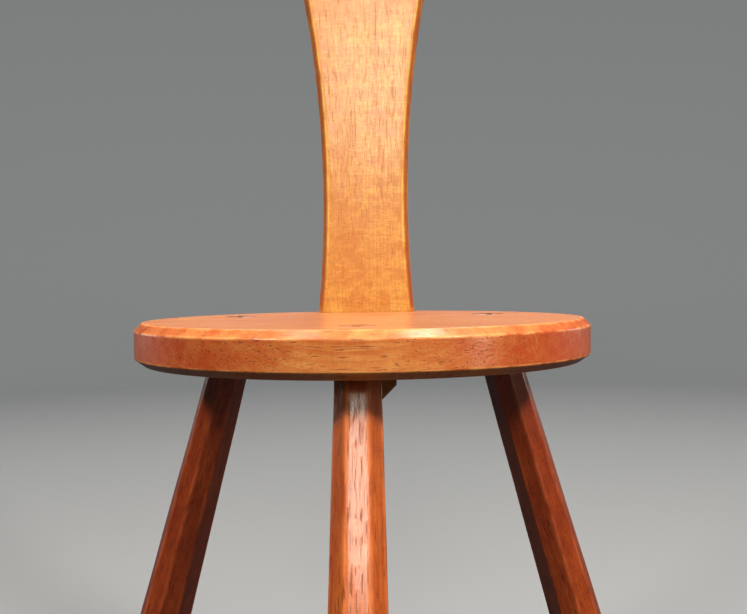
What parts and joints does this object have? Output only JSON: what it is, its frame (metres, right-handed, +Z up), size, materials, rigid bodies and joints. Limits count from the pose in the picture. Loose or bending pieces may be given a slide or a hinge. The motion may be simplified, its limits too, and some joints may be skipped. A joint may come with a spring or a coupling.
{
  "type": "three leg stool",
  "caption": "Wooden stool: round bevelled seat, splayed octagonal legs wedged through it, and a waisted plank back pierced by a heart and keyed under the seat.",
  "frame": {"origin": "on the floor, at the centre of the stool's outline seen from above", "axes": "+Z up, the front leg towards -Y, the back towards +Y, +X to the right seen from the front"},
  "size_m": [0.4836, 0.4868, 0.8678],
  "materials": {
    "seat_oak": "gloss varnish over oak, grain across the seat",
    "back_oak": "gloss varnish over quarter-sawn oak, grain upright, with ray flecks",
    "leg_oak": "gloss varnish over dark-stained oak, grain along the leg",
    "wedge_oak": "satin varnish over dark oak"
  },
  "bodies": {
    "root": {"seat": "seat_oak", "back_splat": "back_oak", "back_locking_wedge": "wedge_oak", "front_leg": "leg_oak", "front_leg_wedge": "wedge_oak", "rear_left_leg": "leg_oak", "rear_left_leg_wedge": "wedge_oak", "rear_right_leg": "leg_oak", "rear_right_leg_wedge": "wedge_oak"}
  },
  "joints": []
}
